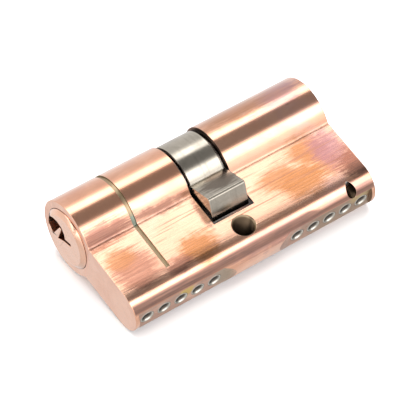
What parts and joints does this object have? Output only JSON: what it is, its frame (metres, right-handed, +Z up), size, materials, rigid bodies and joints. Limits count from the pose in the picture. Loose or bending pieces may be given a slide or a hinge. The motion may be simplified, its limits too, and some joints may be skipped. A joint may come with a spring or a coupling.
{
  "type": "euro profile double lock cylinder",
  "caption": "Double profile cylinder for a mortise deadbolt: round barrel on a narrow flange, a keyed plug in each end, pin stacks below and a cam lever turning in the middle slot.",
  "frame": {"origin": "centre of the fixing screw's threaded cross hole, in the middle of the flange's width and of the cam slot", "axes": "+Z up to the round barrel, -Y to the front keyway along the barrel's axis, +X out of the face that the cam's lever leans towards at rest"},
  "size_m": [0.0175, 0.0616, 0.033],
  "materials": {
    "body_metal": "polished copper-bronze plating, tarnished, with brushed lines along the length",
    "plug_metal": "copper-bronze plating, finely turned face",
    "cam_steel": "satin sintered steel with polished edges",
    "clutch_steel": "plain sintered steel",
    "spring_steel": "drawn spring steel",
    "cap_steel": "bright pressed steel, dished",
    "hard_steel": "hardened steel, dark",
    "key_pin_brass": "turned brass",
    "driver_metal": "turned nickel silver"
  },
  "bodies": {
    "cylinder_body": {"housing": "body_metal", "anti_drill_pin": "hard_steel", "chamber_cap_front_1": "cap_steel", "chamber_cap_front_2": "cap_steel", "chamber_cap_front_3": "cap_steel", "chamber_cap_front_4": "cap_steel", "chamber_cap_front_5": "cap_steel", "chamber_cap_rear_1": "cap_steel", "chamber_cap_rear_2": "cap_steel", "chamber_cap_rear_3": "cap_steel", "chamber_cap_rear_4": "cap_steel", "chamber_cap_rear_5": "cap_steel", "pin_spring_front_1": "spring_steel", "pin_spring_front_2": "spring_steel", "pin_spring_front_3": "spring_steel", "pin_spring_front_4": "spring_steel", "pin_spring_front_5": "spring_steel", "pin_spring_rear_1": "spring_steel", "pin_spring_rear_2": "spring_steel", "pin_spring_rear_3": "spring_steel", "pin_spring_rear_4": "spring_steel", "pin_spring_rear_5": "spring_steel"},
    "front_plug": {"front_plug": "plug_metal", "front_circlip": "spring_steel"},
    "rear_plug": {"rear_plug": "plug_metal", "rear_circlip": "spring_steel"},
    "cam": {"cam": "cam_steel"},
    "clutch": {"clutch_front_dog": "clutch_steel", "clutch_rear_dog": "clutch_steel", "clutch_spring": "spring_steel"},
    "key_pin_front_1": {"key_pin_front_1": "key_pin_brass"},
    "driver_pin_front_1": {"driver_pin_front_1": "driver_metal"},
    "key_pin_front_2": {"key_pin_front_2": "key_pin_brass"},
    "driver_pin_front_2": {"driver_pin_front_2": "driver_metal"},
    "key_pin_front_3": {"key_pin_front_3": "key_pin_brass"},
    "driver_pin_front_3": {"driver_pin_front_3": "driver_metal"},
    "key_pin_front_4": {"key_pin_front_4": "key_pin_brass"},
    "driver_pin_front_4": {"driver_pin_front_4": "driver_metal"},
    "key_pin_front_5": {"key_pin_front_5": "key_pin_brass"},
    "driver_pin_front_5": {"driver_pin_front_5": "driver_metal"},
    "key_pin_rear_1": {"key_pin_rear_1": "key_pin_brass"},
    "driver_pin_rear_1": {"driver_pin_rear_1": "driver_metal"},
    "key_pin_rear_2": {"key_pin_rear_2": "key_pin_brass"},
    "driver_pin_rear_2": {"driver_pin_rear_2": "driver_metal"},
    "key_pin_rear_3": {"key_pin_rear_3": "key_pin_brass"},
    "driver_pin_rear_3": {"driver_pin_rear_3": "driver_metal"},
    "key_pin_rear_4": {"key_pin_rear_4": "key_pin_brass"},
    "driver_pin_rear_4": {"driver_pin_rear_4": "driver_metal"},
    "key_pin_rear_5": {"key_pin_rear_5": "key_pin_brass"},
    "driver_pin_rear_5": {"driver_pin_rear_5": "driver_metal"}
  },
  "joints": [
    {"name": "cam_turn", "type": "hinge", "parent": "cylinder_body", "child": "cam", "pos_m": [0, 0, 0.0185], "axis": [0, -1, 0], "continuous": true},
    {"name": "clutch_slide", "type": "slide", "parent": "cam", "child": "clutch", "axis": [0, 1, 0], "range_m": [-0.00115, 0.00115]},
    {"name": "front_plug_turn", "type": "hinge", "parent": "cylinder_body", "child": "front_plug", "pos_m": [0, 0, 0.0185], "axis": [0, -1, 0], "continuous": true},
    {"name": "rear_plug_turn", "type": "hinge", "parent": "cylinder_body", "child": "rear_plug", "pos_m": [0, 0, 0.0185], "axis": [0, -1, 0], "continuous": true},
    {"name": "stack_front_1_driver", "type": "slide", "parent": "cylinder_body", "child": "driver_pin_front_1", "axis": [0, 0, 1], "range_m": [-0.0027, 0], "stiffness_N_per_m": 100, "springref_m": 0.003, "deforming": ["pin_spring_front_1"]},
    {"name": "stack_front_1_key_pin", "type": "slide", "parent": "front_plug", "child": "key_pin_front_1", "axis": [0, 0, 1], "range_m": [0, 0.00325]},
    {"name": "stack_front_2_driver", "type": "slide", "parent": "cylinder_body", "child": "driver_pin_front_2", "axis": [0, 0, 1], "range_m": [-0.0027, 0], "stiffness_N_per_m": 100, "springref_m": 0.003, "deforming": ["pin_spring_front_2"]},
    {"name": "stack_front_2_key_pin", "type": "slide", "parent": "front_plug", "child": "key_pin_front_2", "axis": [0, 0, 1], "range_m": [0, 0.00195]},
    {"name": "stack_front_3_driver", "type": "slide", "parent": "cylinder_body", "child": "driver_pin_front_3", "axis": [0, 0, 1], "range_m": [-0.0027, 0], "stiffness_N_per_m": 100, "springref_m": 0.003, "deforming": ["pin_spring_front_3"]},
    {"name": "stack_front_3_key_pin", "type": "slide", "parent": "front_plug", "child": "key_pin_front_3", "axis": [0, 0, 1], "range_m": [0, 0.00255]},
    {"name": "stack_front_4_driver", "type": "slide", "parent": "cylinder_body", "child": "driver_pin_front_4", "axis": [0, 0, 1], "range_m": [-0.0027, 0], "stiffness_N_per_m": 100, "springref_m": 0.003, "deforming": ["pin_spring_front_4"]},
    {"name": "stack_front_4_key_pin", "type": "slide", "parent": "front_plug", "child": "key_pin_front_4", "axis": [0, 0, 1], "range_m": [0, 0.00155]},
    {"name": "stack_front_5_driver", "type": "slide", "parent": "cylinder_body", "child": "driver_pin_front_5", "axis": [0, 0, 1], "range_m": [-0.0027, 0], "stiffness_N_per_m": 100, "springref_m": 0.003, "deforming": ["pin_spring_front_5"]},
    {"name": "stack_front_5_key_pin", "type": "slide", "parent": "front_plug", "child": "key_pin_front_5", "axis": [0, 0, 1], "range_m": [0, 0.00295]},
    {"name": "stack_rear_1_driver", "type": "slide", "parent": "cylinder_body", "child": "driver_pin_rear_1", "axis": [0, 0, 1], "range_m": [-0.0027, 0], "stiffness_N_per_m": 100, "springref_m": 0.003, "deforming": ["pin_spring_rear_1"]},
    {"name": "stack_rear_1_key_pin", "type": "slide", "parent": "rear_plug", "child": "key_pin_rear_1", "axis": [0, 0, 1], "range_m": [0, 0.00195]},
    {"name": "stack_rear_2_driver", "type": "slide", "parent": "cylinder_body", "child": "driver_pin_rear_2", "axis": [0, 0, 1], "range_m": [-0.0027, 0], "stiffness_N_per_m": 100, "springref_m": 0.003, "deforming": ["pin_spring_rear_2"]},
    {"name": "stack_rear_2_key_pin", "type": "slide", "parent": "rear_plug", "child": "key_pin_rear_2", "axis": [0, 0, 1], "range_m": [0, 0.00295]},
    {"name": "stack_rear_3_driver", "type": "slide", "parent": "cylinder_body", "child": "driver_pin_rear_3", "axis": [0, 0, 1], "range_m": [-0.0027, 0], "stiffness_N_per_m": 100, "springref_m": 0.003, "deforming": ["pin_spring_rear_3"]},
    {"name": "stack_rear_3_key_pin", "type": "slide", "parent": "rear_plug", "child": "key_pin_rear_3", "axis": [0, 0, 1], "range_m": [0, 0.00155]},
    {"name": "stack_rear_4_driver", "type": "slide", "parent": "cylinder_body", "child": "driver_pin_rear_4", "axis": [0, 0, 1], "range_m": [-0.0027, 0], "stiffness_N_per_m": 100, "springref_m": 0.003, "deforming": ["pin_spring_rear_4"]},
    {"name": "stack_rear_4_key_pin", "type": "slide", "parent": "rear_plug", "child": "key_pin_rear_4", "axis": [0, 0, 1], "range_m": [0, 0.00325]},
    {"name": "stack_rear_5_driver", "type": "slide", "parent": "cylinder_body", "child": "driver_pin_rear_5", "axis": [0, 0, 1], "range_m": [-0.0027, 0], "stiffness_N_per_m": 100, "springref_m": 0.003, "deforming": ["pin_spring_rear_5"]},
    {"name": "stack_rear_5_key_pin", "type": "slide", "parent": "rear_plug", "child": "key_pin_rear_5", "axis": [0, 0, 1], "range_m": [0, 0.00255]}
  ]
}
